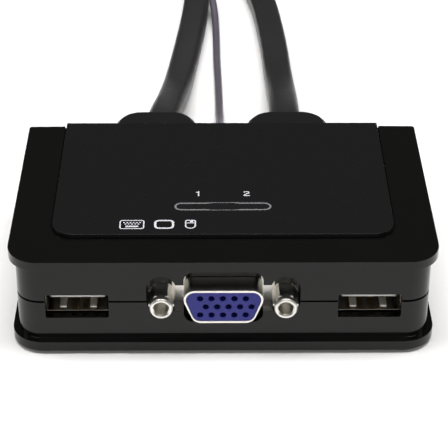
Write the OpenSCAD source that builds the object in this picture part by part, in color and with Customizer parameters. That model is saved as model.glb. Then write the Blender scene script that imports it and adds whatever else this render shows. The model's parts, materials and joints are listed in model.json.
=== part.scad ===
// Two-port KVM switch with captive computer leads and a wired selector button.
// Millimetres. X to the right, Y to the rear, Z up. Origin on the floor, under the middle
// of the casing with its jack nuts. The connectors face -Y.

/* [Casing] */
// Width over the top and base plates
case_w = 86.5; // [82:0.5:92]
// Depth of the top and base plates
case_d = 55.7; // [52:0.1:60]
// Height of the rubber feet below the base
foot_h = 0.8; // [0.4:0.1:2]
// Underside of the top plate above the floor
plate_z = 20.2; // [20:0.1:21]
// Thickness of the top plate
plate_h = 2.0; // [1.6:0.1:2.4]
// Height of the raised panel above the top plate
panel_h = 0.9; // [0.4:0.1:1.4]
// Height of the parting line above the floor
part_z = 11.8; // [11.6:0.1:12]
// How far the plates stand out in front of the connector face
front_lip = 1.6; // [1:0.1:2]
// How far the plates stand out at each side
side_lip = 1.3; // [0.8:0.1:1.8]
// Wall thickness of the two shells
wall = 1.8; // [1.4:0.1:2.2]

/* [Connectors] */
// Distance of each USB socket from the centre line
usb_x = 29.55; // [28:0.05:30]
// Height of the USB sockets' centre
usb_z = 10.65; // [10:0.05:11.5]
// Half the distance between the jack nuts
jack_x = 12.5; // [12.5:0.1:12.5]
// Width of the video socket's metal shell
d_shell_w = 16.0; // [15.8:0.1:16.4]
// Height of the video socket's metal shell
d_shell_h = 7.8; // [7.6:0.1:8]

/* [Leads] */
// Width of a flat computer lead
lead_w = 7.2; // [6.6:0.1:7.2]
// Thickness of a flat computer lead
lead_t = 5.0; // [4.6:0.1:5]
// Distance of each lead from the centre line
lead_x = 15.3; // [14.5:0.1:16]
// Diameter of the selector's wire
wire_d = 2.0; // [1.6:0.1:2]

/* [Selector] */
// Length of the selector's case
remote_l = 38; // [36:1:38]
// Width of the selector's case
remote_w = 24; // [22:1:24]
// Diameter of the selector's button
button_d = 14; // [10:1:15]
// Travel of the selector's button
button_travel = 0.8; // [0.3:0.1:1]

/* [Hidden] */

$fn = 48;
hull_fn = 32;

// casing, worked out from the sizes above
nut_front = -28.45;
y_front = nut_front + 1.2;
y_back = y_front + case_d;
y_face = y_front + front_lip;
body_w = case_w - 2 * side_lip;
front_r = 6.7;
body_r = 5.0;
back_r = 0.8;
base_h = 2.1;
base_z = foot_h + base_h;
top_z = plate_z + plate_h;
panel_w = 69.6;
panel_front = y_front + 9.1;
panel_r = 4.6;
panel_sink = 0.4;
groove = 0.4;
seam = 0.45;
lip_h = 1.0;
lip_t = 0.7;
lip_gap = 0.05;
seat_depth = 4.0;
board_z = 6.1;
board_h = 1.6;
board_top = board_z + board_h;
video_z = part_z;

// USB receptacle's shell
usb_shell_w = 13.3;
usb_shell_h = 5.4;
usb_sheet = 0.3;
usb_front = y_face + 2.2;
usb_floor = usb_z - usb_shell_h / 2 + usb_sheet;

// window over the two indicator lights
window_y = -7.35;
window_l = 20.2;
window_w = 3.1;
led_x = 5.1;

// screws, feet and their bosses
screw_x = 36.2;
screw_front_y = -5.0;
screw_back_y = 22.5;
screw_head_top = foot_h + 1.8;
foot_x = 33.0;
foot_front_y = -20.0;
foot_back_y = 21.0;
foot_r = 4.0;

// rear outlets
boot_w = 18.6;
boot_t = 10.4;
boot_back = 46;
grommet_back = 33;

// coil of the two leads, wound as a pair, the left lead outside
ring_x = 35.6;
ring_y = 193;
ring_r = 38.0;
outer_r = ring_r + lead_w / 2;
inner_r = ring_r - lead_w / 2;
strap_t = 0.5;
layers = 4;
ring_top = strap_t + layers * lead_t;

// coil of the thin wire
wire_coil_x = -27;
wire_coil_y = 166;
wire_coil_r = 11;
wire_coil_band = 8;
wire_coil_h = 16;

// selector
remote_x = -25;
remote_y = 211.5;
remote_split = 5.5;
remote_h = 10.0;
button_r = button_d / 2;
button_up = 1.6;
switch_top = 6.2;

// plug assembly, along its own +X from the end of the strain relief
relief_l = 14;
core_l = 21;
block_l = 9;
hood_x = relief_l;
block_x = relief_l + core_l;
nose_x = block_x + block_l;
hood_t = 15;
core_t = 13.6;
video_nose = 6;
knob_r = 3.7;
screw_bore_r = 1.75;
screw_shaft_r = 1.67;
usb_plug_z = hood_t / 2 + 3.9;
usb_grip_x = 20;
usb_grip_l = 22;
usb_nose_x = usb_grip_x + usb_grip_l;
usb_nose_l = 18.5;
tail_d = 3.6;

// where the two plug assemblies lie: [x, y, z, turn]
plug_left = [ring_x - 15.6, ring_y + 26, ring_top + lead_t + hood_t / 2, 0];
plug_right = [ring_x + 8.4, ring_y - 26, ring_top + hood_t / 2, 180];

// routes, chosen by hand: out of the casing, down to the floor and back to the coil
lead_left_run = [
    [-14.2, 46, 11.8], [-14, 51, 11.4], [-13.3, 58, 10], [-12.5, 66, 8], [-11.8, 75, 5.6],
    [-11, 85, 3.5], [-10.1, 95, 2.6], [-8.9, 107, 2.5], [-7.7, 120, 2.5], [-6.7, 134, 2.5],
    [-6.1, 150, 2.6], [-6, 164, 2.8], [-6, 175, 3]
];
lead_right_run = [
    [15.3, 46, 11.8], [15.3, 51, 11.4], [15.3, 58, 10], [15.4, 66, 8], [15.4, 75, 5.6],
    [15.3, 85, 3.5], [15, 95, 2.6], [14.6, 107, 2.5], [13.8, 120, 2.5], [12.6, 134, 2.5],
    [10.4, 148, 2.6], [8.4, 157, 2.8]
];
// the leads' last stretch, off the top of the coil and into the plugs
lead_left_end = [
    [-6, 193, 25], [-5.1, 199.7, 27], [-2.5, 206, 29.4], [1.6, 211.4, 31.2],
    [7, 215.5, 32.4], [13.3, 218.1, 32.9], [20, 219, 33]
];
lead_right_end = [
    [70, 193, 23], [69.1, 186.3, 23.6], [66.5, 180, 24.6], [62.4, 174.6, 25.8],
    [57, 170.5, 27], [50.7, 167.9, 27.8], [44, 167, 28]
];
wire_run = [
    [-1, 33, 11.8], [-1, 37, 11.4], [-0.9, 44, 9.8], [-0.6, 52, 7.2], [-0.4, 60, 4.6],
    [-0.3, 68, 2.4], [-0.4, 77, 1.2], [-0.6, 90, 1], [-0.9, 104, 1], [-1, 116, 1],
    [-1.2, 126, 1.4], [-1.8, 134, 3.6], [-3, 140, 5.8], [-5.2, 145.5, 6.6],
    [-7.8, 150.5, 6.6], [-10.2, 155, 5.2], [-12, 160, 3.2], [-13, 166, 1.8]
];
wire_end = [
    [-13, 166, 15.4], [-13.6, 173, 13.6], [-17, 180, 10], [-22, 186, 6.8], [-25, 192.5, 5.4]
];
// the thin tail, in the plug assembly's own frame
tail_run = [
    [14, -6.7, -3], [10, -6.7, -3], [6, -6.9, -2.2], [2.5, -7.2, 0.6], [1.2, -7, 4.5],
    [3, -5.5, 8.6], [6.5, -3, 10.8], [10, -1, 11.4], [13, 0, 11.4]
];

// ---- helpers ----

// Rounded outline with its own radii at the front and at the rear
module outline(w, y0, y1, rf, rb) {
    translate([-w / 2 + rf, y0]) square([w - 2 * rf, y1 - y0]);
    translate([-w / 2, y0 + rf]) square([w, y1 - y0 - rf - rb]);
    translate([-w / 2 + rb, y1 - rf - rb]) square([w - 2 * rb, rf + rb]);
    for (s = [-1, 1]) {
        translate([s * (w / 2 - rf), y0 + rf]) circle(rf);
        translate([s * (w / 2 - rb), y1 - rb]) circle(rb);
    }
}

// Flat layer of an outline between two heights
module layer(z0, z1) {
    translate([0, 0, z0]) linear_extrude(z1 - z0) children();
}

// Rectangle with round corners, centred
module round_rect(w, h, r) {
    square([w - 2 * r, h], center = true);
    square([w, h - 2 * r], center = true);
    for (x = [-1, 1], y = [-1, 1]) translate([x * (w / 2 - r), y * (h / 2 - r)]) circle(r);
}

// Extrusion that starts at y = back and runs forward by depth
module forward(back, depth) {
    translate([0, back, 0]) rotate([90, 0, 0]) linear_extrude(depth) children();
}

function arc(x, y, r, from, to) =
    [for (i = [0:6]) let (a = from + (to - from) * i / 6) [x + r * cos(a), y + r * sin(a)]];

// D-shaped outline of a video connector, wide side up
module d_outline(w, h, r) {
    lean = h * tan(10);
    high_x = w / 2 - r;
    low_x = high_x - lean;
    y = h / 2 - r;
    side = -atan(lean / (2 * y));
    polygon(concat(arc(high_x, y, r, side, 90), arc(-high_x, y, r, 90, 180 - side),
                   arc(-low_x, -y, r, 180 - side, 270), arc(low_x, -y, r, -90, side)));
}

// Tube of elliptic section swept along a route
function heading(p, i) =
    let (a = p[max(i - 1, 0)], b = p[min(i + 1, len(p) - 1)]) (b - a) / norm(b - a);
function side_of(t, hint) =
    let (s = is_undef(hint) ? cross(t, [0, 0, 1]) : hint - (hint * t) * t) s / norm(s);
function ring_point(p, i, a, rw, rt, hint) =
    let (t = heading(p, i), s = side_of(t, hint), u = cross(s, t))
    p[i] + s * rw * cos(a) + u * rt * sin(a);

// hint: a direction the section's width keeps to; without one the width stays level
module tube(p, w, t, sides, hint) {
    n = len(p);
    points = [for (i = [0:n - 1], k = [0:sides - 1])
        ring_point(p, i, 360 * k / sides, w / 2, t / 2, hint)];
    walls = [for (i = [0:n - 2], k = [0:sides - 1])
        [i * sides + k, i * sides + (k + 1) % sides,
         (i + 1) * sides + (k + 1) % sides, (i + 1) * sides + k]];
    start = [for (k = [sides - 1:-1:0]) k];
    end = [for (k = [0:sides - 1]) (n - 1) * sides + k];
    polyhedron(concat(points), concat(walls, [start, end]));
}

module at_plug(place) {
    translate([place[0], place[1], place[2]]) rotate([0, 0, place[3]]) children();
}

// Flat ring, the outer shape of a coil
module annulus(r0, r1, z0, z1, turn = 360) {
    rotate_extrude(angle = turn, $fn = 96) translate([r0, z0]) square([r1 - r0, z1 - z0]);
}

// ---- casing ----

module at_bosses() {
    for (s = [-1, 1], y = [screw_front_y, screw_back_y]) translate([s * screw_x, y, 0]) children();
}

// Shallow recess round the video socket: a rectangle, and a notch over each jack nut
module video_recess() {
    notch_r = 3.0;
    translate([0, 1.0]) round_rect(d_shell_w, 12.0, 2.0);
    for (s = [-1, 1]) translate([s * jack_x, 0]) {
        circle(notch_r);
        translate([0, 3]) circle(notch_r);
        translate([-notch_r, 0]) square([2 * notch_r, 3]);
    }
}

// What goes right through: the D-shell, the nuts and the slots that show the flange
module video_passage() {
    slot_x = 7.6;
    slot_w = 2.8;
    slot_top = 4.0;
    slot_bottom = 2.4;
    d_outline(d_shell_w + 0.3, d_shell_h + 0.3, 2.3);
    for (s = [-1, 1]) {
        translate([s * jack_x, 0]) circle(2.7);
        translate([s * (slot_x + slot_w / 2) - slot_w / 2, -slot_bottom])
            square([slot_w, slot_bottom + slot_top]);
    }
}

module face_openings() {
    recess = seat_depth - 0.8;
    translate([0, 0, video_z]) {
        forward(y_face + recess, recess + 1) video_recess();
        forward(y_face + seat_depth + 1, seat_depth + 2) video_passage();
    }
    for (s = [-1, 1])
        translate([s * usb_x, 0, usb_z])
            forward(y_face + wall + 1, wall + 2) round_rect(usb_shell_w - 0.5, usb_shell_h + 0.1, 0.4);
}

module rear_openings() {
    for (s = [-1, 1])
        translate([s * lead_x, 0, part_z])
            forward(y_back + 1, wall + 2) round_rect(12.4, 7.4, 2.5);
    translate([-1, y_back + 1, part_z]) rotate([90, 0, 0]) cylinder(r = 2.2, h = wall + 2);
}

module shell_wall(z0, z1) {
    layer(z0, z1) difference() {
        outline(body_w, y_face, y_back, body_r, back_r);
        outline(body_w - 2 * wall, y_face + wall, y_back - wall, body_r - wall, back_r);
    }
}

// Lip along the side and rear walls, from the given inset to the lip's inner face
module lip(z0, z1, inset) {
    inner = wall + lip_gap + lip_t;
    layer(z0, z1) difference() {
        outline(body_w - 2 * inset, y_face + inset, y_back - inset, body_r - inset, 0.2);
        outline(body_w - 2 * inner, y_face + inner, y_back - inner, body_r - inner, 0.2);
        translate([-38, y_face]) square([76, 4]);
    }
}

// Block behind the connector face that the video socket sits against
module socket_pad(z0, z1) {
    translate([-17, y_face + 1, z0]) cube([34, seat_depth - 1, z1 - z0]);
}

module top_cover() {
    color([0.06, 0.06, 0.06]) difference() {
        union() {
            layer(plate_z, top_z) outline(case_w, y_front, y_back, front_r, back_r);
            shell_wall(part_z + seam / 2, plate_z);
            socket_pad(part_z + seam / 2, plate_z);
            at_bosses() translate([0, 0, part_z + seam / 2]) cylinder(r = 3, h = plate_z - part_z);
        }
        layer(top_z - panel_sink, top_z + 1)
            outline(panel_w + 2 * groove, panel_front - groove, y_back + 1, panel_r + groove, 0.1);
        translate([0, window_y, plate_z - 1]) linear_extrude(4) round_rect(window_l - 1, window_w - 1, 1);
        face_openings();
        rear_openings();
        at_bosses() translate([0, 0, part_z - 1]) cylinder(r = 1.1, h = 8);
    }
}

module lower_case() {
    lower_top = part_z - seam / 2;
    color([0.06, 0.06, 0.06]) difference() {
        union() {
            layer(foot_h, base_z) outline(case_w, y_front, y_back, front_r, back_r);
            shell_wall(base_z, lower_top);
            lip(base_z, lower_top, wall - 0.2);
            lip(lower_top - 0.1, part_z + lip_h, wall + lip_gap);
            socket_pad(base_z, lower_top);
            at_bosses() translate([0, 0, base_z]) cylinder(r = 3, h = lower_top - base_z);
        }
        face_openings();
        rear_openings();
        at_bosses() {
            cylinder(r = 1.5, h = part_z + 1);
            cylinder(r = 2.9, h = screw_head_top);
        }
        at_feet() translate([0, 0, foot_h - 1]) cylinder(r = foot_r + 0.1, h = 1.6);
    }
}

// Satin panel that sits in a shallow recess of the top plate
module cover_panel() {
    color([0.11, 0.11, 0.12]) difference() {
        layer(top_z - panel_sink, top_z + panel_h)
            outline(panel_w, panel_front, y_back, panel_r, 0.2);
        translate([0, window_y, top_z - 1]) linear_extrude(4) round_rect(window_l, window_w, window_w / 2 - 0.01);
    }
}

// Clear light guide: the pill in the panel and the bar that reaches down to the lights
module led_window() {
    guide_foot = 12.4;
    color([0.35, 0.35, 0.36, 0.7]) {
        translate([0, window_y, top_z - panel_sink]) linear_extrude(panel_h + panel_sink - 0.1)
            round_rect(window_l - 0.3, window_w - 0.3, (window_w - 0.3) / 2 - 0.01);
        for (s = [-1, 1]) translate([s * led_x - 1.5, window_y - 0.9, guide_foot])
            cube([3, 1.8, top_z - panel_sink - guide_foot]);
    }
}

module status_leds() {
    color([0.9, 0.95, 0.9]) for (s = [-1, 1])
        translate([s * led_x - 1.6, window_y - 0.8, board_top]) cube([3.2, 1.6, 1.1]);
}

// ---- circuit board ----

module circuit_board() {
    color([0.05, 0.3, 0.14]) difference() {
        translate([-39, -20.7, board_z]) cube([78, 45.7, board_h]);
        at_bosses() translate([0, 0, board_z - 1]) cylinder(r = 3.3, h = 4);
    }
}

module chip(x, y, w, d, h) {
    leg_pitch = 1.27;
    color([0.1, 0.1, 0.1]) translate([x - w / 2, y - d / 2, board_top + 0.15]) cube([w, d, h]);
    color("silver") for (s = [-1, 1], i = [1:floor(w / leg_pitch) - 1])
        translate([x - w / 2 + i * leg_pitch - 0.2, y + s * (d / 2 + 0.4) - 0.5, board_top])
            cube([0.4, 1, 0.5]);
}

module switch_chip() {
    chip(-10, 6, 12, 9, 1.5);
}

module support_chips() {
    chip(12, 3, 9, 5, 1.4);
    chip(12, 13, 9, 5, 1.4);
}

module crystal() {
    color("silver") translate([-24, 6, board_top]) linear_extrude(3.5) round_rect(4.6, 11, 2.2);
}

module capacitors() {
    color([0.2, 0.2, 0.25]) for (p = [[26, -4], [26, 6], [-26, 17]])
        translate([p[0], p[1], board_top]) cylinder(r = 2.5, h = 5.4);
}

// Pin headers where the captive leads' inner wires land
module lead_headers() {
    color([0.9, 0.88, 0.8]) for (s = [-1, 1])
        translate([s * lead_x - 7, 18.6, board_top]) cube([14, 4, 5]);
    color([0.9, 0.88, 0.8]) translate([-4, 19, board_top]) cube([6, 3.5, 5]);
}

// ---- sockets ----

module video_socket_shell() {
    flange_y = y_face + seat_depth;
    color([0.8, 0.8, 0.82]) difference() {
        union() {
            translate([0, 0, video_z]) forward(flange_y + 0.8, 0.8) round_rect(30.8, 12.5, 0.8);
            translate([0, 0, video_z]) forward(flange_y, 6.0) d_outline(d_shell_w, d_shell_h, 2.2);
            translate([-15, flange_y + 0.8, board_top]) cube([30, 8, 12]);
        }
        translate([0, 0, video_z]) forward(flange_y + 9, 20) d_outline(d_shell_w - 0.9, d_shell_h - 0.9, 1.8);
        for (s = [-1, 1]) translate([s * jack_x, flange_y + 5, video_z])
            rotate([90, 0, 0]) cylinder(r = 1.5, h = 7);
    }
}

module video_pin_places() {
    pitch_x = 2.29;
    pitch_z = 1.98;
    stagger = [-0.12, 1.03, -0.12];
    for (row = [-1:1], i = [-2:2])
        translate([i * pitch_x + stagger[row + 1], row * pitch_z]) children();
}

module video_socket_insert() {
    insert_back = y_face + seat_depth + 8.5;
    color([0.16, 0.17, 0.62]) translate([0, 0, video_z])
        forward(insert_back, insert_back - y_face + 1.9) difference() {
            d_outline(d_shell_w - 1.0, d_shell_h - 1.0, 1.8);
            video_pin_places() circle(0.62, $fn = 16);
        }
}

module video_socket_contacts() {
    color("gold") translate([0, 0, video_z])
        forward(y_face + seat_depth + 8, seat_depth + 6.6) video_pin_places() difference() {
            circle(0.55, $fn = 16);
            circle(0.34, $fn = 16);
        }
}

// Hexagonal jack nuts with a round, chamfered front and a threaded hole
module jack_nuts() {
    nut_l = y_face + seat_depth - nut_front;
    round_l = 1.5;
    thread_r = 1.42;
    color([0.75, 0.76, 0.78]) for (s = [-1, 1])
        translate([s * jack_x, y_face + seat_depth, video_z]) rotate([90, 0, 0]) difference() {
            union() {
                cylinder(d = 4.5 / cos(30), h = nut_l - round_l, $fn = 6);
                cylinder(d = 4.7, h = nut_l - 0.3);
                translate([0, 0, nut_l - 0.3]) cylinder(d1 = 4.7, d2 = 4.2, h = 0.3);
                translate([0, 0, -4.5]) cylinder(r = thread_r, h = 5);
            }
            translate([0, 0, 1]) cylinder(r = thread_r, h = nut_l);
            translate([0, 0, nut_l - 0.35]) cylinder(r1 = thread_r, r2 = 1.78, h = 0.36);
        }
}

// Type A receptacle: folded sheet shell, open at the front, with a seam along its floor
module usb_socket() {
    depth = 13.5;
    color([0.78, 0.79, 0.8]) difference() {
        translate([0, 0, usb_z]) forward(usb_front + depth, depth)
            round_rect(usb_shell_w, usb_shell_h, 0.5);
        translate([0, 0, usb_z]) forward(usb_front + depth - 0.6, depth)
            round_rect(usb_shell_w - 2 * usb_sheet, usb_shell_h - 2 * usb_sheet, 0.3);
        translate([-0.08, usb_front - 1, usb_floor - 0.12]) cube([0.16, 9, 2]);
    }
}

// Pairs of leaf springs that rise from the floors of the receptacles
module usb_springs() {
    spring_w = 1.4;
    spring_l = 3.4;
    color([0.8, 0.8, 0.8]) for (side = [-1, 1], s = [-1, 1])
        translate([side * usb_x + s * 3.07 - spring_w / 2, usb_front + 1.0, usb_floor])
            rotate([90, 0, 90]) linear_extrude(spring_w)
                polygon([[0, 0], [0, 0.15], [0.25, 0.4], [spring_l, 1.1], [spring_l, 0]]);
}

module usb_tongue() {
    tongue_w = 11.1;
    tongue_h = 1.84;
    tongue_l = 9.2;
    tongue_rise = 0.2;
    color([0.9, 0.9, 0.88]) {
        translate([-tongue_w / 2, usb_front + 0.8, usb_z + tongue_rise]) cube([tongue_w, tongue_l, tongue_h]);
        translate([-6.1, usb_front + 0.8 + tongue_l, usb_z - 2.35]) cube([12.2, 2.4, 4.7]);
    }
}

module usb_socket_left() {
    translate([-usb_x, 0, 0]) usb_socket();
}

module usb_socket_right() {
    translate([usb_x, 0, 0]) usb_socket();
}

module usb_tongue_left() {
    translate([-usb_x, 0, 0]) usb_tongue();
}

module usb_tongue_right() {
    translate([usb_x, 0, 0]) usb_tongue();
}

module usb_contacts() {
    color("gold") for (s = [-1, 1], i = [-1.5:1.5])
        translate([s * usb_x + i * 2.3 - 0.5, usb_front + 2.6, usb_z - 0.05]) cube([1, 7, 0.25]);
}

// ---- fasteners and feet ----

// Self-tapping screws from below: head in the counterbore, shank up into the top cover
module case_screws() {
    head_h = 1.5;
    screw_tip = 17;
    color([0.3, 0.3, 0.32]) at_bosses() difference() {
        union() {
            translate([0, 0, screw_head_top - head_h]) cylinder(r = 2.6, h = head_h);
            translate([0, 0, screw_head_top - 0.1]) cylinder(r = 1.1, h = screw_tip - screw_head_top);
        }
        for (a = [0, 90]) rotate([0, 0, a])
            translate([-1.4, -0.3, screw_head_top - head_h - 1]) cube([2.8, 0.6, 1.7]);
    }
}

module at_feet() {
    for (s = [-1, 1], y = [foot_front_y, foot_back_y]) translate([s * (foot_x - 4), y, 0]) children();
}

module rubber_feet() {
    color([0.15, 0.15, 0.15]) at_feet() cylinder(r = foot_r, h = foot_h + 0.6);
}

// ---- rear outlets ----

// Moulded strain relief: a wide rounded body with a neck clamped in the rear wall
module lead_boot() {
    neck_t = 7.2;
    color([0.12, 0.12, 0.12]) {
        translate([0, 0, part_z]) forward(y_back + 0.1, wall + 2.2) round_rect(12.2, neck_t, 2.4);
        translate([0, 0, part_z - boot_t / 2]) hull() {
            for (s = [-1, 1]) {
                translate([s * (boot_w / 2 - 0.8), y_back + 0.8, 1]) cylinder(r = 0.8, h = boot_t - 2, $fn = 16);
                translate([s * (boot_w / 2 - 6), boot_back - 6, 1]) cylinder(r = 6, h = boot_t - 2, $fn = hull_fn);
                translate([s * (boot_w / 2 - 1.8), y_back + 1.8, 0]) cylinder(r = 0.8, h = boot_t, $fn = 16);
                translate([s * (boot_w / 2 - 6), boot_back - 6, 0]) cylinder(r = 5, h = boot_t, $fn = hull_fn);
            }
        }
    }
}

module lead_boot_left() {
    translate([-lead_x, 0, 0]) lead_boot();
}

module lead_boot_right() {
    translate([lead_x, 0, 0]) lead_boot();
}

module wire_grommet() {
    color([0.12, 0.12, 0.12]) translate([-1, 0, part_z]) rotate([-90, 0, 0]) {
        translate([0, 0, y_back - wall - 1]) cylinder(r = 2.1, h = wall + 1);
        translate([0, 0, y_back]) cylinder(r1 = 3.0, r2 = 1.8, h = grommet_back - y_back);
        translate([0, 0, y_back - wall - 2.5]) cylinder(r = 3.2, h = 1.5);
    }
}

// ---- computer leads ----

module lead_left() {
    color([0.13, 0.13, 0.14]) {
        tube(lead_left_run, lead_w, lead_t, 12);
        tube(lead_left_end, lead_w, lead_t, 12);
    }
}

module lead_right() {
    color([0.13, 0.13, 0.14]) {
        tube(lead_right_run, lead_w, lead_t, 12);
        tube(lead_right_end, lead_w, lead_t, 12);
    }
}

module lead_coil_left() {
    color([0.13, 0.13, 0.14]) translate([ring_x, ring_y, 0])
        annulus(ring_r + 0.02, ring_r + lead_w, strap_t, ring_top);
}

// The inner lead has half a turn more than the outer one
module lead_coil_right() {
    color([0.13, 0.13, 0.14]) translate([ring_x, ring_y, 0]) {
        annulus(ring_r - lead_w, ring_r - 0.02, strap_t, ring_top);
        annulus(ring_r - lead_w, ring_r - 0.02, ring_top - 0.5, ring_top + lead_t, 180);
    }
}

// Band round both leads' turns
module coil_strap() {
    strap_w = 9;
    gap = 0.2;
    band = 2 * (lead_w + gap) + strap_t;
    color([0.05, 0.05, 0.06]) translate([ring_x, ring_y, 0]) rotate([0, 0, -45])
        translate([ring_r, strap_w / 2, 0])
            rotate([90, 0, 0]) linear_extrude(strap_w) difference() {
                translate([-band / 2 - strap_t, 0]) square([band + 2 * strap_t, ring_top + strap_t]);
                translate([-band / 2, strap_t - 0.05]) square([band, layers * lead_t + 0.1]);
            }
}

// ---- plug assembly ----

module video_hood() {
    color([0.1, 0.1, 0.1]) difference() {
        union() {
            hull() {
                translate([0, 0, 0]) rotate([90, 0, 90]) linear_extrude(0.5) round_rect(8.6, 6.4, 2);
                translate([relief_l, 0, 0]) rotate([90, 0, 90]) linear_extrude(0.5) round_rect(9.6, 9, 2.5);
            }
            translate([hood_x, 0, 0]) rotate([90, 0, 90]) linear_extrude(core_l) round_rect(17.0, core_t, 2.5);
            translate([block_x, 0, 0]) rotate([90, 0, 90]) linear_extrude(block_l) round_rect(31.5, hood_t, 3);
        }
        for (s = [-1, 1]) translate([block_x - 1, s * jack_x, 0]) rotate([0, 90, 0])
            cylinder(r = screw_bore_r, h = block_l + 2);
        translate([nose_x - 2.5, 0, 0]) rotate([90, 0, 90]) linear_extrude(4)
            d_outline(d_shell_w + 0.9, d_shell_h + 0.5, 2.4);
    }
}

module video_shell() {
    color([0.8, 0.8, 0.82]) translate([nose_x - 2.4, 0, 0]) rotate([90, 0, 90]) {
        linear_extrude(video_nose + 2.4) difference() {
            d_outline(d_shell_w + 0.8, d_shell_h + 0.4, 2.4);
            d_outline(d_shell_w + 0.1, d_shell_h - 0.3, 2.1);
        }
    }
}

// Blue floor of the plug and its fifteen pins
module video_core() {
    translate([nose_x - 2.4, 0, 0]) rotate([90, 0, 90]) {
        color([0.16, 0.17, 0.62]) linear_extrude(2.0) d_outline(d_shell_w, d_shell_h - 0.4, 2.1);
        color("gold") linear_extrude(7.2) video_pin_places() circle(0.38, $fn = 16);
    }
}

// Captive screw: fluted knob behind the hood's ear, shank through it, threaded tip in front
module thumbscrew(side) {
    knob_l = 11;
    tip_r = 1.42;
    flutes = 12;
    color([0.12, 0.12, 0.12]) translate([0, side * jack_x, 0]) rotate([0, 90, 0]) {
        difference() {
            translate([0, 0, block_x - 0.3 - knob_l]) cylinder(r = knob_r, h = knob_l);
            for (i = [0:flutes - 1]) rotate([0, 0, i * 360 / flutes])
                translate([knob_r + 0.25, 0, block_x - knob_l - 2]) cylinder(r = 0.6, h = knob_l + 1, $fn = 16);
        }
        translate([0, 0, block_x - 0.4]) cylinder(r = screw_shaft_r, h = block_l + 0.4);
        translate([0, 0, nose_x - 0.1]) cylinder(r = tip_r, h = video_nose);
    }
}

module usb_grip() {
    color([0.1, 0.1, 0.1]) translate([0, 0, usb_plug_z]) {
        translate([13, 0, 0]) rotate([0, 90, 0]) cylinder(r1 = 2.4, r2 = 3.2, h = usb_grip_x - 13);
        translate([usb_grip_x, 0, 0]) rotate([90, 0, 90]) linear_extrude(usb_grip_l)
            round_rect(15.6, 7.6, 2.2);
    }
}

module usb_plug() {
    color([0.8, 0.8, 0.82]) translate([usb_nose_x, 0, usb_plug_z]) rotate([90, 0, 90]) difference() {
        linear_extrude(usb_nose_l) round_rect(12, 4.5, 0.4);
        translate([0, 0, 0.4]) linear_extrude(usb_nose_l) round_rect(11.4, 3.9, 0.2);
        for (s = [-1, 1]) translate([s * 2.9 - 1.1, 0, 11]) cube([2.2, 5, 2.4]);
    }
}

// Plug's white tongue with four contacts
module usb_core() {
    tongue_l = usb_nose_l - 1.2;
    translate([usb_nose_x + 0.4, 0, usb_plug_z]) {
        color([0.92, 0.92, 0.9]) translate([0, -5.6, -1.9]) cube([tongue_l, 11.2, 1.8]);
        color("gold") for (i = [-1.5:1.5]) translate([2, i * 2.3 - 0.5, -0.1]) cube([tongue_l - 2.6, 1, 0.1]);
    }
}

module usb_tail() {
    color([0.13, 0.13, 0.14]) tube(tail_run, tail_d, tail_d, 8, [0, 1, 0]);
}

module video_hood_left() {
    at_plug(plug_left) video_hood();
}

module video_shell_left() {
    at_plug(plug_left) video_shell();
}

module video_core_left() {
    at_plug(plug_left) video_core();
}

module thumbscrew_left_a() {
    at_plug(plug_left) thumbscrew(1);
}

module thumbscrew_left_b() {
    at_plug(plug_left) thumbscrew(-1);
}

module usb_tail_left() {
    at_plug(plug_left) usb_tail();
}

module usb_grip_left() {
    at_plug(plug_left) usb_grip();
}

module usb_plug_left() {
    at_plug(plug_left) usb_plug();
}

module usb_core_left() {
    at_plug(plug_left) usb_core();
}

module video_hood_right() {
    at_plug(plug_right) video_hood();
}

module video_shell_right() {
    at_plug(plug_right) video_shell();
}

module video_core_right() {
    at_plug(plug_right) video_core();
}

module thumbscrew_right_a() {
    at_plug(plug_right) thumbscrew(1);
}

module thumbscrew_right_b() {
    at_plug(plug_right) thumbscrew(-1);
}

module usb_tail_right() {
    at_plug(plug_right) usb_tail();
}

module usb_grip_right() {
    at_plug(plug_right) usb_grip();
}

module usb_plug_right() {
    at_plug(plug_right) usb_plug();
}

module usb_core_right() {
    at_plug(plug_right) usb_core();
}

// ---- selector on its wire ----

module selector_wire() {
    color([0.33, 0.31, 0.35]) {
        tube(wire_run, wire_d, wire_d, 8);
        tube(wire_end, wire_d, wire_d, 8);
    }
}

module wire_coil() {
    color([0.33, 0.31, 0.35]) translate([wire_coil_x, wire_coil_y, 0])
        annulus(wire_coil_r - wire_coil_band / 2, wire_coil_r + wire_coil_band / 2,
                strap_t, strap_t + wire_coil_h);
}

// Thin tie round the small coil's turns
module wire_tie() {
    tie_w = 3;
    gap = 0.2;
    color([0.05, 0.05, 0.06]) translate([wire_coil_x, wire_coil_y, 0]) rotate([0, 0, 180])
        translate([wire_coil_r, tie_w / 2, wire_coil_h / 2 + strap_t + gap / 2])
            rotate([90, 0, 0]) linear_extrude(tie_w) difference() {
                square([wire_coil_band + 2 * gap + 2 * strap_t, wire_coil_h + gap + 2 * strap_t],
                       center = true);
                square([wire_coil_band + 2 * gap, wire_coil_h + gap], center = true);
            }
}

module at_selector() {
    translate([remote_x, remote_y, 0]) children();
}

module selector_outline(inset) {
    round_rect(remote_w - 2 * inset, remote_l - 2 * inset, 9 - inset);
}

module selector_base() {
    color([0.08, 0.08, 0.08]) at_selector() difference() {
        layer(0, remote_split) selector_outline(0);
        layer(1.5, remote_split + 1) selector_outline(1.4);
        translate([0, -remote_l / 2 + 3, remote_split]) rotate([90, 0, 0]) cylinder(r = 1.1, h = 6);
    }
}

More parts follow.
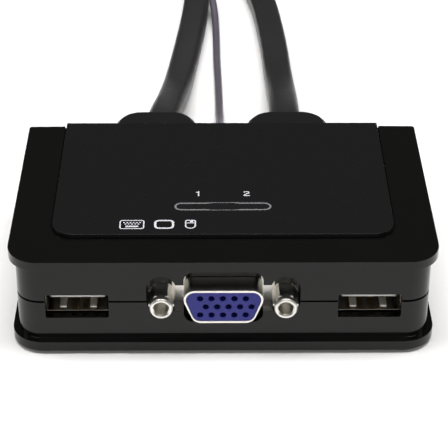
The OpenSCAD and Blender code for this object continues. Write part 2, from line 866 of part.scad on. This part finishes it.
module selector_cover() {
    color([0.08, 0.08, 0.08]) at_selector() difference() {
        union() {
            layer(remote_split + 0.1, remote_h - 1.2) selector_outline(0);
            hull() {
                layer(remote_h - 1.3, remote_h - 1.2) selector_outline(0);
                layer(remote_h - 0.1, remote_h) selector_outline(1.2);
            }
        }
        layer(remote_split - 1, remote_h - 1.6) selector_outline(1.4);
        translate([0, 0, remote_h - 3]) cylinder(r = button_r + 0.3, h = 4);
        translate([0, -remote_l / 2 + 3, remote_split]) rotate([90, 0, 0]) cylinder(r = 1.1, h = 6);
    }
}

// Round key with a retaining rim under the cover
module selector_button() {
    rim_top = remote_h - 2.0;
    color([0.25, 0.26, 0.28]) at_selector() {
        translate([0, 0, rim_top - 0.8]) cylinder(r = button_r + 1, h = 0.8);
        translate([0, 0, rim_top - 0.1]) cylinder(r = button_r, h = remote_h + button_up - rim_top);
    }
}

module selector_switch() {
    stem_r = 1.8;
    color([0.2, 0.2, 0.22]) at_selector() difference() {
        union() {
            translate([-8, -9, 1.5]) cube([16, 18, 1]);
            translate([-3, -3, 2.4]) cube([6, 6, 3.4]);
        }
        translate([0, 0, 4]) cylinder(r = stem_r + 0.08, h = 5);
    }
}

module switch_plunger() {
    stem_r = 1.8;
    color([0.7, 0.68, 0.6]) at_selector() translate([0, 0, 5.0]) cylinder(r = stem_r, h = 2.15);
}

top_cover();
lower_case();
cover_panel();
led_window();
status_leds();
circuit_board();
video_socket_shell();
video_socket_insert();
video_socket_contacts();
jack_nuts();
usb_socket_left();
usb_tongue_left();
usb_socket_right();
usb_tongue_right();
usb_springs();
usb_contacts();
switch_chip();
support_chips();
crystal();
capacitors();
lead_headers();
case_screws();
rubber_feet();
lead_boot_left();
lead_boot_right();
wire_grommet();
lead_left();
lead_right();
lead_coil_left();
lead_coil_right();
coil_strap();
video_hood_left();
video_shell_left();
video_core_left();
thumbscrew_left_a();
thumbscrew_left_b();
usb_tail_left();
usb_grip_left();
usb_plug_left();
usb_core_left();
video_hood_right();
video_shell_right();
video_core_right();
thumbscrew_right_a();
thumbscrew_right_b();
usb_tail_right();
usb_grip_right();
usb_plug_right();
usb_core_right();
selector_wire();
wire_coil();
wire_tie();
selector_base();
selector_cover();
selector_button();
selector_switch();
switch_plunger();
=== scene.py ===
"""Looks for the two-port KVM switch: camera, studio, cords, printed marks and materials.

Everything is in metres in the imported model's frame: X right, Y to the rear, Z up, floor at 0.
"""

import json
import math

import bmesh
import bpy
from mathutils import Euler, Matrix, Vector


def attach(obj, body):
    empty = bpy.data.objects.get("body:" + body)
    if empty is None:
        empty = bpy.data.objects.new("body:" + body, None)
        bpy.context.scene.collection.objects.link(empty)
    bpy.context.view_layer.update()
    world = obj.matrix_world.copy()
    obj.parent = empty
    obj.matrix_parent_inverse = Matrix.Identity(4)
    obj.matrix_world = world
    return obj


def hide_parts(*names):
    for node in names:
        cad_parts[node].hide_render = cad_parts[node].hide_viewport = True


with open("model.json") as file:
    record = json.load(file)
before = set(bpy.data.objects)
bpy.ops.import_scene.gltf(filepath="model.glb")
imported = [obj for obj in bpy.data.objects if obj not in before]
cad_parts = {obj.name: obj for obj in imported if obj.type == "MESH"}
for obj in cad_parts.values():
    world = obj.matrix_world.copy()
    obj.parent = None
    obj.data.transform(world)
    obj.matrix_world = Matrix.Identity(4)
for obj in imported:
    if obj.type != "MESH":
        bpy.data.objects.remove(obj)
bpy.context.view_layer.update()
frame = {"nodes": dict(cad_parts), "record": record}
nodes = frame["nodes"]

MM = 0.001

# ---------------------------------------------------------------- camera and studio

CAMERA_PLACE = Vector((-2.14, -303.12, 204.8)) * MM
CAMERA_PITCH = 32.174
CAMERA_YAW = 0.399
CAMERA_ROLL = 0.094
CAMERA_LENS = 134.8


def make_camera():
    data = bpy.data.cameras.new("camera")
    data.lens = CAMERA_LENS
    data.sensor_width = 36.0
    data.clip_start = 0.01
    camera = bpy.data.objects.new("camera", data)
    camera.location = CAMERA_PLACE
    camera.rotation_euler = Euler(
        (math.radians(90 - CAMERA_PITCH), math.radians(-CAMERA_ROLL), math.radians(-CAMERA_YAW))
    )
    bpy.context.scene.collection.objects.link(camera)
    bpy.context.scene.camera = camera


def area_light(name, place, target, size, power):
    data = bpy.data.lights.new(name, "AREA")
    data.shape = "RECTANGLE"
    data.size, data.size_y = size
    data.energy = power
    light = bpy.data.objects.new(name, data)
    light.location = place
    light.rotation_euler = (Vector(target) - Vector(place)).to_track_quat("-Z", "Y").to_euler()
    bpy.context.scene.collection.objects.link(light)


def make_studio():
    bpy.context.scene.view_settings.view_transform = "Standard"
    bpy.ops.mesh.primitive_plane_add(size=6)
    floor = bpy.context.active_object
    floor.name = "floor"
    floor.data.materials.append(simple_material("floor_white", (0.95, 0.94, 0.93), 0.9))
    area_light("overhead", (0, 0.0, 1.3), (0, 0.0, 0), (1.5, 0.6), 24)
    area_light("front_fill", (0.1, -1.4, 0.7), (0, 0, 0), (1.4, 0.7), 6)
    area_light("left_fill", (-1.3, 0.1, 0.7), (0, 0.05, 0), (0.6, 1.0), 3)
    area_light("right_fill", (1.3, 0.1, 0.7), (0, 0.05, 0), (0.6, 1.0), 3)
    world = bpy.data.worlds.new("studio")
    world.use_nodes = True
    background = world.node_tree.nodes["Background"]
    background.inputs["Color"].default_value = (1, 1, 1, 1)
    background.inputs["Strength"].default_value = 0.05
    bpy.context.scene.world = world


# ---------------------------------------------------------------- materials


def simple_material(name, color, roughness):
    material = bpy.data.materials.new(name)
    material.use_nodes = True
    shader = material.node_tree.nodes["Principled BSDF"]
    shader.inputs["Base Color"].default_value = (*color, 1)
    shader.inputs["Roughness"].default_value = roughness
    return material


class Shader:
    """A Principled material with helpers for procedural detail in object space."""

    def __init__(self, name, color, roughness, metallic=0.0, ior=1.5):
        self.material = simple_material(name, color, roughness)
        self.tree = self.material.node_tree
        self.bsdf = self.tree.nodes["Principled BSDF"]
        self.bsdf.inputs["Metallic"].default_value = metallic
        self.bsdf.inputs["IOR"].default_value = ior
        self.color = color
        self.roughness = roughness
        self.coords = self.tree.nodes.new("ShaderNodeTexCoord").outputs["Object"]

    def scaled(self, scale):
        mapping = self.tree.nodes.new("ShaderNodeMapping")
        mapping.inputs["Scale"].default_value = scale
        self.tree.links.new(self.coords, mapping.inputs["Vector"])
        return mapping.outputs["Vector"]

    def noise(self, scale, detail=3.0, stretch=(1, 1, 1)):
        node = self.tree.nodes.new("ShaderNodeTexNoise")
        node.inputs["Scale"].default_value = scale
        node.inputs["Detail"].default_value = detail
        self.tree.links.new(self.scaled(stretch), node.inputs["Vector"])
        return node.outputs["Fac"]

    def ramp(self, source, low, high):
        node = self.tree.nodes.new("ShaderNodeMapRange")
        node.inputs["To Min"].default_value = low
        node.inputs["To Max"].default_value = high
        self.tree.links.new(source, node.inputs["Value"])
        return node.outputs["Result"]

    def vary_roughness(self, source, spread):
        result = self.ramp(source, self.roughness - spread, self.roughness + spread)
        self.tree.links.new(result, self.bsdf.inputs["Roughness"])
        return self

    def vary_color(self, source, spread):
        mix = self.tree.nodes.new("ShaderNodeMix")
        mix.data_type = "RGBA"
        mix.inputs[6].default_value = (*[c * (1 - spread) for c in self.color], 1)
        mix.inputs[7].default_value = (*[min(1, c * (1 + spread)) for c in self.color], 1)
        self.tree.links.new(source, mix.inputs[0])
        self.tree.links.new(mix.outputs[2], self.bsdf.inputs["Base Color"])
        return self

    def bump(self, source, distance, strength=1.0):
        node = self.tree.nodes.new("ShaderNodeBump")
        node.inputs["Distance"].default_value = distance
        node.inputs["Strength"].default_value = strength
        self.tree.links.new(source, node.inputs["Height"])
        self.tree.links.new(node.outputs["Normal"], self.bsdf.inputs["Normal"])
        return self

    def coat(self, weight, roughness):
        self.bsdf.inputs["Coat Weight"].default_value = weight
        self.bsdf.inputs["Coat Roughness"].default_value = roughness
        return self


def gloss_plastic(name, color, roughness=0.09, ior=1.35):
    made = Shader(name, color, roughness, ior=ior)
    made.vary_roughness(made.noise(420), 0.03).vary_color(made.noise(60), 0.12)
    return made.bump(made.noise(900, 2), 0.000004, 0.35).material


def satin_plastic(name, color, roughness=0.42, grain=5200, ior=1.45, relief=0.45):
    made = Shader(name, color, roughness, ior=ior)
    made.vary_roughness(made.noise(300), 0.05).vary_color(made.noise(grain / 2), 0.14)
    return made.bump(made.noise(grain, 4), 0.00002, relief).material


def soft_vinyl(name, color, roughness=0.46):
    made = Shader(name, color, roughness)
    made.vary_roughness(made.noise(500), 0.07).vary_color(made.noise(260), 0.18)
    return made.bump(made.noise(1800, 3), 0.00003, 0.5).coat(0.12, 0.35).material


def plated_metal(name, color, roughness=0.22, stretch=(1, 1, 1)):
    made = Shader(name, color, roughness, metallic=1.0)
    made.vary_roughness(made.noise(700, 4, stretch), 0.08).vary_color(made.noise(350), 0.06)
    return made.bump(made.noise(1500, 3, stretch), 0.000006, 0.4).material


def smoked_lens(name):
    made = Shader(name, (0.012, 0.012, 0.013), 0.07, ior=1.49)
    made.bsdf.inputs["Transmission Weight"].default_value = 0.25
    return made.vary_roughness(made.noise(600), 0.03).material


def woven_strap(name, color):
    made = Shader(name, color, 0.85)
    weave = made.tree.nodes.new("ShaderNodeTexWave")
    weave.inputs["Scale"].default_value = 900
    weave.inputs["Distortion"].default_value = 0.6
    made.tree.links.new(made.scaled((1, 1, 1)), weave.inputs["Vector"])
    made.bsdf.inputs["Sheen Weight"].default_value = 0.35
    made.vary_color(made.noise(1400), 0.3)
    return made.bump(weave.outputs["Fac"], 0.00012, 0.7).material


def board_green(name):
    made = Shader(name, (0.02, 0.16, 0.07), 0.3)
    made.vary_color(made.noise(900, 1, (1, 6, 1)), 0.3).vary_roughness(made.noise(700), 0.08)
    return made.bump(made.noise(1200, 1, (1, 6, 1)), 0.00002, 0.4).material


MATERIALS = {
    "cover_gloss": gloss_plastic("cover_gloss", (0.0038, 0.0037, 0.0034), 0.08),
    "panel_satin": satin_plastic(
        "panel_satin", (0.0072, 0.0072, 0.0076), 0.28, ior=1.33, relief=0.12
    ),
    "lens_clear": smoked_lens("lens_clear"),
    "led_clear": gloss_plastic("led_clear", (0.75, 0.8, 0.75), 0.2),
    "board_green": board_green("board_green"),
    "socket_metal": plated_metal("socket_metal", (0.76, 0.74, 0.69), 0.32),
    "insert_blue": satin_plastic("insert_blue", (0.016, 0.018, 0.19), 0.42, ior=1.4),
    "contact_gold": plated_metal("contact_gold", (0.75, 0.52, 0.2), 0.28),
    # painted highlight: the tongue is made pale so it shows as the bright line along the top of
    # each USB opening
    "tongue_white": satin_plastic("tongue_white", (0.6, 0.6, 0.58), 0.4),
    # the warm tone is the plating's own; its darkness is partly painted shade for the shaded inside
    # of the sockets
    "usb_metal": plated_metal("usb_metal", (0.4, 0.36, 0.31), 0.22),
    "spring_metal": plated_metal("spring_metal", (0.85, 0.84, 0.8), 0.45),
    "chip_black": satin_plastic("chip_black", (0.012, 0.012, 0.013), 0.55),
    "can_metal": plated_metal("can_metal", (0.7, 0.7, 0.72), 0.3),
    "header_cream": satin_plastic("header_cream", (0.7, 0.66, 0.54), 0.45),
    "screw_steel": plated_metal("screw_steel", (0.2, 0.2, 0.21), 0.34),
    "foot_rubber": soft_vinyl("foot_rubber", (0.015, 0.015, 0.015), 0.75),
    "boot_black": satin_plastic("boot_black", (0.007, 0.007, 0.007), 0.4, 4200, 1.38),
    "cord_black": soft_vinyl("cord_black", (0.016, 0.016, 0.017), 0.42),
    "cord_grey": soft_vinyl("cord_grey", (0.09, 0.08, 0.1), 0.4),
    "strap_black": woven_strap("strap_black", (0.012, 0.012, 0.014)),
    "tie_black": soft_vinyl("tie_black", (0.012, 0.012, 0.014), 0.4),
    "hood_black": satin_plastic("hood_black", (0.012, 0.012, 0.012), 0.45, 3600),
    "selector_black": gloss_plastic("selector_black", (0.006, 0.006, 0.006), 0.12),
    "button_grey": satin_plastic("button_grey", (0.05, 0.052, 0.058), 0.35),
}
PRINT = satin_plastic("print_white", (0.62, 0.62, 0.66), 0.45)
# light grey ring laid over the lens's rim: a painted highlight for the light its glossy rim catches
LENS_RIM_HIGHLIGHT = satin_plastic("lens_rim_highlight", (0.2, 0.2, 0.21), 0.25)

# width of the rounded edges each node gets, in millimetres
EDGE_ROUNDS = {
    "top_cover": 0.16, "lower_case": 0.16, "cover_panel": 0.15, "led_window": 0.25,
    "video_socket_shell": 0.2, "video_socket_insert": 0.15, "jack_nuts": 0.15,
    "usb_socket_left": 0.08, "usb_socket_right": 0.08, "usb_springs": 0.2,
    "usb_tongue_left": 0.2, "usb_tongue_right": 0.2,
    "lead_boot_left": 0.8, "lead_boot_right": 0.8, "wire_grommet": 0.3,
    "rubber_feet": 0.25, "case_screws": 0.15, "coil_strap": 0.15, "wire_tie": 0.15,
    "selector_base": 0.5, "selector_cover": 0.4, "selector_button": 0.5,
    "circuit_board": 0.1, "switch_chip": 0.1, "support_chips": 0.1, "crystal": 0.4,
    "capacitors": 0.4, "lead_headers": 0.2, "status_leds": 0.2, "switch_plunger": 0.2,
    "selector_switch": 0.15,
}
# nodes with short edges in places, which would otherwise hold the whole node's rounding back;
# theirs is measured along the edges, so that two edges that nearly line up make no spike
FREE_ROUNDS = ("top_cover", "lower_case")
PLUG_ROUNDS = {
    "video_hood": 0.5, "video_shell": 0.12, "video_core": 0.08, "usb_grip": 0.5,
    "usb_plug": 0.12, "usb_core": 0.1,
}


def round_edges(node, width):
    """Joins the node's split vertices and rounds its sharp edges, all in modifiers."""
    piece = nodes[node]
    for polygon in piece.data.polygons:
        polygon.use_smooth = True
    weld = piece.modifiers.new("join", "WELD")
    weld.merge_threshold = 0.00001
    flat = piece.modifiers.new("flats", "DECIMATE")
    flat.decimate_type = "DISSOLVE"
    flat.angle_limit = math.radians(0.6)
    bevel = piece.modifiers.new("edges", "BEVEL")
    bevel.width = width * MM
    bevel.segments = 3
    bevel.limit_method = "ANGLE"
    bevel.angle_limit = math.radians(35)
    if node in FREE_ROUNDS:
        bevel.use_clamp_overlap = False
        bevel.offset_type = "ABSOLUTE"
    even = piece.modifiers.new("shading", "WEIGHTED_NORMAL")
    even.weight = 90
    even.keep_sharp = True


def dress_cad():
    slot_of = {s["node"]: s["material_slot"] for s in frame["record"]["subparts"]}
    for name, piece in nodes.items():
        piece.data.materials.clear()
        piece.data.materials.append(MATERIALS[slot_of[name]])
    for node, width in EDGE_ROUNDS.items():
        round_edges(node, width)
    for node, width in PLUG_ROUNDS.items():
        round_edges(node + "_left", width)
        round_edges(node + "_right", width)


# ---------------------------------------------------------------- cords

LEAD_W = 7.2
LEAD_T = 5.0
WIRE_D = 2.0
TAIL_D = 3.6
STRAP_T = 0.5

RING_X = 35.6
RING_Y = 193.0
RING_R = 38.0
WIRE_COIL = (-27.0, 166.0)
WIRE_COIL_OUT = 14.0
WIRE_COIL_IN = 8.0

LEAD_LEFT_RUN = [
    (-14.2, 46, 11.8), (-14, 51, 11.4), (-13.3, 58, 10), (-12.5, 66, 8), (-11.8, 75, 5.6),
    (-11, 85, 3.5), (-10.1, 95, 2.6), (-8.9, 107, 2.5), (-7.7, 120, 2.5), (-6.7, 134, 2.5),
    (-6.1, 150, 2.6), (-6, 164, 2.8), (-6, 175, 3),
]
LEAD_RIGHT_RUN = [
    (15.3, 46, 11.8), (15.3, 51, 11.4), (15.3, 58, 10), (15.4, 66, 8), (15.4, 75, 5.6),
    (15.3, 85, 3.5), (15, 95, 2.6), (14.6, 107, 2.5), (13.8, 120, 2.5), (12.6, 134, 2.5),
    (10.4, 148, 2.6), (8.4, 157, 2.8),
]
LEAD_LEFT_END = [
    (-6, 193, 25), (-5.1, 199.7, 27), (-2.5, 206, 29.4), (1.6, 211.4, 31.2),
    (7, 215.5, 32.4), (13.3, 218.1, 32.9), (20, 219, 33),
]
LEAD_RIGHT_END = [
    (70, 193, 23), (69.1, 186.3, 23.6), (66.5, 180, 24.6), (62.4, 174.6, 25.8),
    (57, 170.5, 27), (50.7, 167.9, 27.8), (44, 167, 28),
]
WIRE_RUN = [
    (-1, 33, 11.8), (-1, 37, 11.4), (-0.9, 44, 9.8), (-0.6, 52, 7.2), (-0.4, 60, 4.6),
    (-0.3, 68, 2.4), (-0.4, 77, 1.2), (-0.6, 90, 1), (-0.9, 104, 1), (-1, 116, 1),
    (-1.2, 126, 1.4), (-1.8, 134, 3.6), (-3, 140, 5.8), (-5.2, 145.5, 6.6),
    (-7.8, 150.5, 6.6), (-10.2, 155, 5.2), (-12, 160, 3.2), (-13, 166, 1.8),
]
WIRE_END = [
    (-13, 166, 15.4), (-13.6, 173, 13.6), (-17, 180, 10), (-22, 186, 6.8), (-25, 192.5, 5.4),
]
TAIL_RUN = [
    (14, -6.7, -3), (10, -6.7, -3), (6, -6.9, -2.2), (2.5, -7.2, 0.6), (1.2, -7, 4.5),
    (3, -5.5, 8.6), (6.5, -3, 10.8), (10, -1, 11.4), (13, 0, 11.4),
]
PLUGS = {"left": ((20.0, 219.0, 33.0), 1), "right": ((44.0, 167.0, 28.0), -1)}


def smooth_step(value, start, end):
    t = min(1.0, max(0.0, (value - start) / (end - start)))
    return t * t * (3 - 2 * t)


def lead_coil(radius, turns):
    """Clockwise turns from the ring's left side; each turn climbs one layer before it closes."""
    per_turn = 36
    climb_from, climb_to = 230.0, 285.0
    points = []
    for i in range(1, int(turns * per_turn)):
        angle = 360.0 * i / per_turn
        climbs = sum(
            smooth_step(angle, 360 * k + climb_from, 360 * k + climb_to) for k in range(int(turns))
        )
        a = math.radians(angle)
        points.append((
            RING_X - radius * math.cos(a),
            RING_Y + radius * math.sin(a),
            STRAP_T + LEAD_T * (0.5 + climbs),
        ))
    return points


def wire_coil(layers):
    """Counter-clockwise turns in flat layers, wound in and out by turns."""
    per_turn = 14
    turns_in_layer = 3
    steps = per_turn * turns_in_layer
    points = []
    for i in range(1, layers * steps):
        layer, step = divmod(i, steps)
        share = step / steps
        inward = share if layer % 2 == 0 else 1 - share
        radius = WIRE_COIL_OUT + (WIRE_COIL_IN - WIRE_COIL_OUT) * inward
        a = 2 * math.pi * i / per_turn
        rise = smooth_step(share, 0.93, 1.0)
        points.append((
            WIRE_COIL[0] + radius * math.cos(a),
            WIRE_COIL[1] + radius * math.sin(a),
            STRAP_T + WIRE_D * (0.5 + layer + rise),
        ))
    return points


def flowing(points, step):
    """The points in metres with a Catmull-Rom curve through them, sampled about every step."""
    p = [Vector(q) * MM for q in points]
    p = [2 * p[0] - p[1]] + p + [2 * p[-1] - p[-2]]
    path = []
    for a, b, c, d in zip(p, p[1:], p[2:], p[3:]):
        count = max(1, round((c - b).length / (step * MM)))
        for i in range(count):
            t = i / count
            path.append(0.5 * (
                2 * b + (c - a) * t + (2 * a - 5 * b + 4 * c - d) * t * t
                + (3 * b - a - 3 * c + d) * t ** 3
            ))
    return path + [p[-2]]


def flat_section(width, thick, radius, per_corner=4):
    """Rounded rectangle, as (across, up) pairs in metres, anticlockwise."""
    points = []
    for cx, cy, start in ((1, 1, 0), (-1, 1, 90), (-1, -1, 180), (1, -1, 270)):
        for i in range(per_corner + 1):
            a = math.radians(start + 90 * i / per_corner)
            points.append((
                (cx * (width / 2 - radius) + radius * math.cos(a)) * MM,
                (cy * (thick / 2 - radius) + radius * math.sin(a)) * MM,
            ))
    return points


def round_section(diameter, sides=12):
    radius = diameter / 2 * MM
    angles = [2 * math.pi * i / sides for i in range(sides)]
    return [(radius * math.cos(a), radius * math.sin(a)) for a in angles]


def link_mesh(name, mesh):
    data = bpy.data.meshes.new(name)
    mesh.to_mesh(data)
    mesh.free()
    piece = bpy.data.objects.new(name, data)
    bpy.context.scene.collection.objects.link(piece)
    return piece


def sweep(name, path, section, side_hint=None):
    """Closed mesh tube of the section along the path; its width stays level unless hinted."""
    mesh = bmesh.new()
    rings = []
    for i, centre in enumerate(path):
        ahead = (path[min(i + 1, len(path) - 1)] - path[max(i - 1, 0)]).normalized()
        if side_hint is None:
            side = ahead.cross(Vector((0, 0, 1)))
        else:
            side = side_hint - side_hint.dot(ahead) * ahead
        side.normalize()
        up = side.cross(ahead)
        rings.append([mesh.verts.new(centre + side * s + up * u) for s, u in section])
    count = len(section)
    for a, b in zip(rings, rings[1:]):
        for k in range(count):
            mesh.faces.new((a[k], a[(k + 1) % count], b[(k + 1) % count], b[k]))
    mesh.faces.new(rings[0][::-1])
    mesh.faces.new(rings[-1])
    bmesh.ops.recalc_face_normals(mesh, faces=mesh.faces)
    for face in mesh.faces:
        face.smooth = True
    return link_mesh(name, mesh)


def video_plug(side):
    names = ["video_hood", "video_shell", "video_core"]
    screws = [nodes[f"thumbscrew_{side}_{place}"] for place in "ab"]
    return [nodes[f"{n}_{side}"] for n in names] + screws


def make_lead(side, run, radius, turns, end):
    path = flowing(run + lead_coil(radius, turns) + end, 2.5)
    piece = sweep(f"flat_lead_{side}", path, flat_section(LEAD_W, LEAD_T, 1.6))
    piece.data.materials.append(MATERIALS["cord_black"])
    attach(piece, "casing")
    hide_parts(f"lead_{side}", f"lead_coil_{side}")
    carried = video_plug(side) + [nodes[f"lead_boot_{side}"]]
    if side == "left":
        carried.append(nodes["coil_strap"])


def make_tail(side):
    place, turn = PLUGS[side]
    route = [(place[0] + turn * x, place[1] + turn * y, place[2] + z) for x, y, z in TAIL_RUN]
    path = flowing(route, 1.0)
    piece = sweep(f"usb_tail_cord_{side}", path, round_section(TAIL_D), Vector((0, 1, 0)))
    piece.data.materials.append(MATERIALS["cord_black"])
    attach(piece, "casing")
    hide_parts(f"usb_tail_{side}")


def make_wire():
    path = flowing(WIRE_RUN + wire_coil(8) + WIRE_END, 2.0)
    piece = sweep("thin_wire", path, round_section(WIRE_D, 10))
    piece.data.materials.append(MATERIALS["cord_grey"])
    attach(piece, "casing")
    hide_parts("selector_wire", "wire_coil")


# ---------------------------------------------------------------- printed marks, and a painted highlight ring round the lens

PANEL_TOP = 23.1
LENS_TOP = 23.0
PRINT_H = 0.03
NUMBER_LINE = 0.27


def rounded_loop(width, height, top_r, low_r):
    """Closed outline with its own radii at the top and at the bottom, as points in millimetres."""
    points = []
    corners = ((1, 1, 0, top_r), (-1, 1, 90, top_r), (-1, -1, 180, low_r), (1, -1, 270, low_r))
    for sx, sy, start, r in corners:
        for i in range(5):
            a = math.radians(start + 22.5 * i)
            points.append((
                sx * (width / 2 - r) + r * math.cos(a),
                sy * (height / 2 - r) + r * math.sin(a),
            ))
    return points


def stroke(mesh, points, width, centre, closed=False):
    """Flat strip of one width along the points, with mitred corners."""
    p = [Vector(q) for q in points]
    count = len(p)
    pairs = []
    for i, here in enumerate(p):
        before = p[i - 1] if closed or i else here
        after = p[(i + 1) % count] if closed or i < count - 1 else here
        into = (here - before).normalized() if before != here else (after - here).normalized()
        out = (after - here).normalized() if after != here else into
        mean = (into + out).normalized()
        offset = Vector((-mean.y, mean.x)) * width / 2 / mean.dot(out)
        pairs.append([
            mesh.verts.new(((q.x + centre[0]) * MM, (q.y + centre[1]) * MM, centre[2] * MM))
            for q in (here + offset, here - offset)
        ])
    rows = pairs + pairs[:1] if closed else pairs
    for (a, b), (c, d) in zip(rows, rows[1:]):
        mesh.faces.new((b, d, c, a))


def make_mark(name, material, strokes, centre):
    """One printed mark: its strokes as (points, width, closed), raised by the print's thickness."""
    mesh = bmesh.new()
    for points, width, closed in strokes:
        stroke(mesh, points, width, centre, closed)
    piece = link_mesh(name, mesh)
    ink = piece.modifiers.new("ink", "SOLIDIFY")
    ink.thickness = PRINT_H * MM
    ink.offset = 1
    piece.data.materials.append(material)
    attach(piece, "casing")


def box_stroke(x0, x1, y, height):
    return ([(x0, y), (x1, y)], height, False)


def keyboard_strokes():
    keys = [box_stroke(-1.8 + 0.66 * i, -1.5 + 0.66 * i, 0.72, 0.36) for i in range(6)]
    keys += [box_stroke(-1.47 + 0.66 * i, -1.17 + 0.66 * i, 0.2, 0.36) for i in range(5)]
    frame_line = (rounded_loop(4.8, 3.1, 0.5, 0.5), 0.26, True)
    return keys + [frame_line, box_stroke(-1.3, 1.3, -0.72, 0.5)]


def mouse_strokes():
    return [
        (rounded_loop(1.95, 3.0, 0.4, 0.95), 0.28, True),
        box_stroke(-0.95, 0.95, 0.5, 0.24),
        ([(0, 0.5), (0, 1.45)], 0.22, False),
        box_stroke(0.1, 0.5, 0.95, 0.8),
    ]


def lens_edge_points():
    """The lens's outline, a little wider over its middle section."""
    half_l, half_w, middle, swell = 9.85, 1.28, 3.0, 0.3
    side = []
    for i in range(25):
        x = -8.4 + 0.7 * i
        side.append((x, half_w + swell * (1 - smooth_step(abs(x), middle - 0.8, middle + 0.4))))
    end = [
        (half_l - half_w + half_w * math.cos(a), half_w * math.sin(a))
        for a in (math.radians(75 - 15 * i) for i in range(11))
    ]
    right = side + end
    return right + [(-x, -y) for x, y in right]


def number_one_strokes():
    return [([(-0.38, 0.5), (0.12, 0.78), (0.12, -0.95)], NUMBER_LINE, False)]


def number_two_strokes():
    curve = [
        (-0.55, 0.5), (-0.3, 0.76), (0.2, 0.8), (0.5, 0.56), (0.44, 0.24), (-0.28, -0.3),
        (-0.5, -0.66),
    ]
    return [(curve, NUMBER_LINE, False), box_stroke(-0.66, 0.66, -0.82, NUMBER_LINE)]


def monitor_strokes():
    return [(rounded_loop(3.6, 2.9, 0.8, 0.8), 0.45, True)]


def make_marks():
    marks = {
        "mark_one": (number_one_strokes(), (-5.2, -2.4)),
        "mark_two": (number_two_strokes(), (5.0, -2.4)),
        "mark_keyboard": (keyboard_strokes(), (-18.55, -14.45)),
        "mark_monitor": (monitor_strokes(), (-12.0, -14.4)),
        "mark_mouse": (mouse_strokes(), (-6.65, -14.4)),
    }
    for name, (strokes, centre) in marks.items():
        make_mark(name, PRINT, strokes, (*centre, PANEL_TOP))
    # painted highlight: a thin light grey ring round the lens, where its glossy rim would catch the
    # light
    rim_highlight = [(lens_edge_points(), 0.38, True)]
    make_mark("lens_rim_highlight", LENS_RIM_HIGHLIGHT, rim_highlight, (0, -7.35, LENS_TOP))


make_camera()
make_lead("left", LEAD_LEFT_RUN, RING_R + LEAD_W / 2, 4, LEAD_LEFT_END)
make_lead("right", LEAD_RIGHT_RUN, RING_R - LEAD_W / 2, 4.5, LEAD_RIGHT_END)
make_tail("left")
make_tail("right")
make_wire()
make_studio()
dress_cad()
make_marks()
